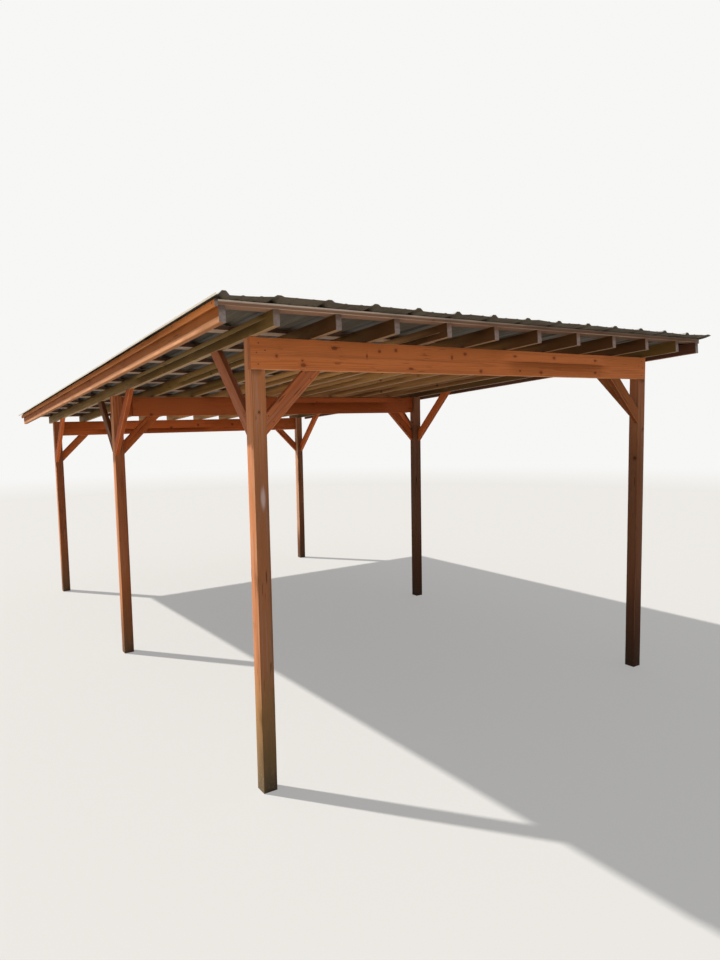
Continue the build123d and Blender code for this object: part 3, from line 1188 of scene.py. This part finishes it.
def sheet_points(line, places, length, front_along):
    """The underside's points and then the top's, section after section."""
    normals = section_normals(line)
    points = []
    for side in (0, 1):
        for along in places:
            for point, normal in zip(line, normals):
                spot = point + normal * SHEET_THICK * side
                above = spot.z + sheet_wave(point.x, along, length, point.z, front_along + along)
                points.append(on_deck(spot.x, front_along + along, above))
    return points


def sheet_faces(across, rows, bare):
    """Faces of a sheet with rows sections of across points each, and their slots. Between
    two bare points the faces take the edge's metal, paler as a painted highlight."""
    faces = []
    slots = []

    def corner(side, row, column):
        return side * across * rows + row * across + column

    for row in range(rows - 1):
        for column in range(across - 1):
            under = [corner(0, row, column), corner(0, row + 1, column)]
            under += [corner(0, row + 1, column + 1), corner(0, row, column + 1)]
            over = [corner(1, row, column), corner(1, row, column + 1)]
            over += [corner(1, row + 1, column + 1), corner(1, row + 1, column)]
            faces += [under, over]
            slots += [EDGE, EDGE] if bare[column] and bare[column + 1] else [UNDER, TOP]
    for row in range(rows - 1):
        for column in (0, across - 1):
            strip = [corner(0, row, column), corner(1, row, column)]
            strip += [corner(1, row + 1, column), corner(0, row + 1, column)]
            faces.append(strip if column == 0 else strip[::-1])
            slots.append(EDGE)
    for row in (0, rows - 1):
        for column in range(across - 1):
            strip = [corner(0, row, column), corner(0, row, column + 1)]
            strip += [corner(1, row, column + 1), corner(1, row, column)]
            faces.append(strip if row == 0 else strip[::-1])
            slots.append(EDGE)
    return faces, slots


def outer_upstand(line, first, last):
    """Which points of the section line stand in the roof's left or right upstand."""
    left = line[0].x + BEND_RADIUS
    right = line[-1].x - BEND_RADIUS
    return [(first == 0 and point.x < left) or (last == RIB_GAPS and point.x > right) for point in line]


def build_sheet(number, front_along, length):
    """One long ribbed sheet with its own thickness."""
    first = (number - 1) * RIBS_PER_SHEET
    last = min(first + RIBS_PER_SHEET, RIB_GAPS)
    line = round_bends(sheet_outline(first, last))
    places = sheet_stations(length)
    points = sheet_points(line, places, length, front_along)
    faces, slots = sheet_faces(len(line), len(places), outer_upstand(line, first, last))
    mesh = bpy.data.meshes.new(f"roof_sheet_{number}_mesh")
    mesh.from_pydata(points, [], faces)
    mesh.polygons.foreach_set("material_index", slots)
    store(mesh, "tone", [SHEET_TONES[number - 1]] * len(points), domain="POINT")
    smooth_below(mesh, 40)
    piece = add_piece(f"roof_sheet_{number}_ribbed", mesh, SHEET_MATERIALS)
    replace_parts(piece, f"roof_sheet_{number}")


def build_roof():
    """All sheets, each as long as the first one of the solids."""
    low, high = box_of("roof_sheet_1")
    front_along = (low.y - DECK.y) / DOWN.y
    back_along = (high.y - (RIB_HEIGHT + SHEET_THICK) * UP.y - DECK.y) / DOWN.y
    for number in range(1, len(SHEET_TONES) + 1):
        build_sheet(number, front_along, back_along - front_along)


# Nails and screws

def ring(bm, centre, x_axis, y_axis, radius, count, turn):
    verts = []
    for step in range(count):
        angle = turn + 2 * math.pi * step / count
        offset = x_axis * math.cos(angle) * radius + y_axis * math.sin(angle) * radius
        verts.append(bm.verts.new(centre + offset))
    return verts


def bridge(bm, lower, upper):
    count = len(lower)
    for step in range(count):
        follow = (step + 1) % count
        bm.faces.new((lower[step], lower[follow], upper[follow], upper[step]))


def turned_head(bm, point, outward, profile, count, turn):
    """A small head built up in rings of (radius, height) and closed on top."""
    helper = Vector((0, 0, 1)) if abs(outward.z) < 0.9 else Vector((1, 0, 0))
    x_axis = outward.cross(helper).normalized()
    y_axis = outward.cross(x_axis).normalized()
    rings = []
    for radius, rise in profile:
        rings.append(ring(bm, point + outward * rise, x_axis, y_axis, radius, count, turn))
    for lower, upper in zip(rings, rings[1:]):
        bridge(bm, lower, upper)
    bm.faces.new(rings[-1])
    bm.faces.new(rings[0][::-1])


def heads_piece(name, heads, material):
    """heads holds (point, outward, profile, sides) for each fastener."""
    bm = bmesh.new()
    for point, outward, profile, sides in heads:
        turned_head(bm, point, outward, profile, sides, random.uniform(0, FULL_TURN))
    bmesh.ops.recalc_face_normals(bm, faces=bm.faces)
    mesh = to_mesh(bm, name)
    smooth_below(mesh, 40)
    add_piece(name, mesh, [material])


WASHER = ((WASHER_RADIUS, 0.0), (WASHER_RADIUS, 0.0008), (WASHER_RADIUS * 0.75, 0.0022))
SCREW = (
    (SCREW_RADIUS * 1.6, 0.0),
    (SCREW_RADIUS * 1.5, 0.0009),
    (SCREW_RADIUS, 0.0012),
    (SCREW_RADIUS, SCREW_HEAD),
    (SCREW_RADIUS * 0.82, SCREW_HEAD + 0.0006),
)
NAIL = ((NAIL_RADIUS, -0.0005), (NAIL_RADIUS, 0.0003), (NAIL_RADIUS * 0.8, 0.0007))


def roof_screws():
    """A screw with its washer beside every rib on every purlin, not quite in line."""
    washers = []
    screws = []
    beside = RIB_BASE / 2 + SCREW_FROM_RIB
    for node in PURLINS:
        for index in range(RIB_GAPS + 1):
            x = rib_centre(index) + (beside if index < RIB_GAPS else -beside)
            along = purlin_middle(node) + random.uniform(-0.012, 0.012)
            base = on_deck(x + random.uniform(-0.003, 0.003), along, SHEET_THICK + WASHER_GAP)
            lean = Vector((random.uniform(-0.05, 0.05), random.uniform(-0.05, 0.05), 0))
            washers.append((base, UP, WASHER, WASHER_SIDES))
            screws.append((base + UP * WASHER_THICK, (UP + lean).normalized(), SCREW, SCREW_SIDES))
    heads_piece("roof_screw_washers", washers, "washer")
    heads_piece("roof_screw_heads", screws, "screw")


def nail(x, y, z, facing):
    """One nail head on a face that looks along facing."""
    return Vector((x, y, z)), Vector(facing), NAIL, NAIL_SIDES


# Nails at the front beam's left end, given as column and row of the photograph
BEAM_NAIL_PIXELS = ((258.5, 342.9), (256.5, 352.5), (265.0, 350.4), (258.3, 364.0))
BRACE_HALF_MITRE = 0.0629
BRACE_NAIL_SPREAD = 0.017
BRACE_NAIL_INSET = 0.030
STRIP_NAIL_DROP = 0.016


def seen_beam_nails():
    """Where the seen nails lie: in from the beam's end and down from its top."""
    foot, _ = box_of("post_front_left")
    _, high = box_of("beam_front")
    places = [on_front_face(column, row) for column, row in BEAM_NAIL_PIXELS]
    return [(x, high.z - foot.z - z) for x, z in places]


def beam_nails():
    """Four nails through each end of a beam into its posts, all as the seen ones."""
    heads = []
    for row in POST_ROWS:
        low, high = box_of(f"beam_{row}")
        y, facing = (low.y, (0, -1, 0)) if row == "front" else (high.y, (0, 1, 0))
        for inset, drop in seen_beam_nails():
            for x in (low.x + inset, high.x - inset):
                heads.append(nail(x, y, high.z - drop, facing))
    return heads


def rafter_nails():
    """Skew nails through both sides of each rafter into the beams."""
    heads = []
    for node in RAFTERS:
        low, high = box_of(node)
        for row in POST_ROWS:
            beam_low, beam_high = box_of(f"beam_{row}")
            y = (beam_low.y + beam_high.y) / 2 + random.uniform(-0.008, 0.008)
            z = beam_high.z + random.uniform(0.016, 0.024)
            heads.append(nail(low.x, y, z, (-1, 0, 0)))
            heads.append(nail(high.x, y, z, (1, 0, 0)))
    return heads


def brace_nails():
    """Two skew nails at each end of a brace, on both its wide faces."""
    heads = []
    for node in sorted(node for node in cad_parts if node.startswith("brace_")):
        low, high = box_of(node)
        in_beam_plane = node.endswith("_to_beam")
        axis = 0 if in_beam_plane else 1
        rising = "_left" in node if in_beam_plane else node.endswith("_down_slope")
        foot = low[axis] if rising else high[axis]
        way = 1 if rising else -1
        reach = high[axis] - low[axis] - BRACE_HALF_MITRE
        for along in (BRACE_NAIL_INSET, reach - BRACE_NAIL_INSET):
            for spread in (-BRACE_NAIL_SPREAD, BRACE_NAIL_SPREAD):
                level = foot + way * (along + spread)
                z = low.z + BRACE_HALF_MITRE + along - spread
                for side, facing in ((low[1 - axis], -1), (high[1 - axis], 1)):
                    if in_beam_plane:
                        heads.append(nail(level, side, z, (0, facing, 0)))
                    else:
                        heads.append(nail(side, level, z, (facing, 0, 0)))
    return heads


def strip_nails():
    """Nails through the rake strips into the purlins' ends."""
    heads = []
    for side, end, way in (("left", 0, -1), ("right", 1, 1)):
        x = box_of(f"rake_strip_{side}")[end].x
        for node in PURLINS:
            spot = on_deck(x, purlin_middle(node) + random.uniform(-0.02, 0.02), -STRIP_NAIL_DROP)
            heads.append(nail(*spot, (way, 0, 0)))
    return heads


NAILS = {"beam": beam_nails, "brace": brace_nails, "rafter": rafter_nails, "strip": strip_nails}


# Stage, light and camera

FLOOR_SEEN = (0.49, 0.48, 0.465)
FLOOR_BOUNCE = (0.57, 0.525, 0.455)
FLOOR_GLOW = 0.35
FLOOR_FADE = (9.0, 26.0)
FLOOR_HALF = 60.0
FLOOR_LEVEL = -0.001
BACKGROUND = (0.93, 0.93, 0.92)
SKY_FILL = 0.33
SUN_STRENGTH = 5.4
SUN_TRAVEL = (0.64, -0.80, -1.24)
SUN_ANGLE = 1.2
SUN_COLOR = (1.0, 0.97, 0.92)


def seen_rays(nodes):
    """One for camera, mirror and glass rays, none for the light that the stage throws."""
    path = nodes.tree.nodes.new("ShaderNodeLightPath")
    seen = nodes.math("MAXIMUM", path.outputs["Is Camera Ray"], path.outputs["Is Glossy Ray"])
    return nodes.math("MAXIMUM", seen, path.outputs["Is Transmission Ray"])


def floor_material():
    """Pale where the camera sees it, warm where it throws light back, and as bright as the
    background far off."""
    s = Shader("studio_floor")
    seen = seen_rays(s)
    s.tree.links.new(s.mix(seen, FLOOR_BOUNCE, FLOOR_SEEN), s.surface.inputs["Base Color"])
    s.set_surface("Roughness", 0.9)
    s.set_surface("Specular IOR Level", 0.1)
    glow = s.node("ShaderNodeEmission", {"Color": (*BACKGROUND, 1.0), "Strength": 1.0})
    far = s.span(s.length(s.place), *FLOOR_FADE)
    share = s.times(s.math("MAXIMUM", far, FLOOR_GLOW), seen)
    blend = s.node("ShaderNodeMixShader", {0: share, 1: s.surface.outputs[0], 2: glow})
    s.tree.links.new(blend, s.tree.nodes["Material Output"].inputs["Surface"])
    return s.material


def build_floor():
    """Pale floor that keeps the shadow and melts into the background far off."""
    ways = ((-1, -1), (1, -1), (1, 1), (-1, 1))
    corners = [(x * FLOOR_HALF, y * FLOOR_HALF, FLOOR_LEVEL) for x, y in ways]
    mesh = bpy.data.meshes.new("floor_mesh")
    mesh.from_pydata(corners, [], [(0, 1, 2, 3)])
    mesh.materials.append(floor_material())
    add_object("studio_floor", mesh)


def build_world():
    """Background that looks nearly white and lights the shadows only a little."""
    world = bpy.data.worlds.new("studio_world")
    bpy.context.scene.world = world
    world.use_nodes = True
    background = world.node_tree.nodes["Background"]
    background.inputs["Color"].default_value = (*BACKGROUND, 1.0)
    nodes = Nodes(world.node_tree)
    strength = {"Value": seen_rays(nodes), "To Min": SKY_FILL, "To Max": 1.0}
    world.node_tree.links.new(nodes.node("ShaderNodeMapRange", strength), background.inputs["Strength"])


def build_sun():
    lamp = bpy.data.lights.new("sun_from_back_left", "SUN")
    lamp.energy = SUN_STRENGTH
    lamp.angle = math.radians(SUN_ANGLE)
    lamp.color = SUN_COLOR
    sun = add_object("sun_from_back_left", lamp)
    sun.rotation_euler = Vector(SUN_TRAVEL).to_track_quat("-Z", "Y").to_euler()


def build_camera():
    data = bpy.data.cameras.new("photo_camera")
    data.sensor_fit = "VERTICAL"
    data.sensor_height = SENSOR_HEIGHT
    data.lens = FOCAL_PIXELS / IMAGE_HEIGHT * SENSOR_HEIGHT
    right, top, forward = camera_axes()
    turn = Matrix((right, top, -forward)).transposed().to_4x4()
    foot, _ = box_of("post_front_left")
    camera = add_object("photo_camera", data)
    camera.matrix_world = Matrix.Translation(foot + CAMERA_FROM_POST) @ turn
    bpy.context.scene.camera = camera


dress_all_timbers()
build_roof()
roof_screws()
for held, nails in NAILS.items():
    heads_piece(f"{held}_nail_heads", nails(), "nail")
build_floor()
build_world()
build_sun()
build_camera()
bpy.context.scene.view_settings.view_transform = "Standard"
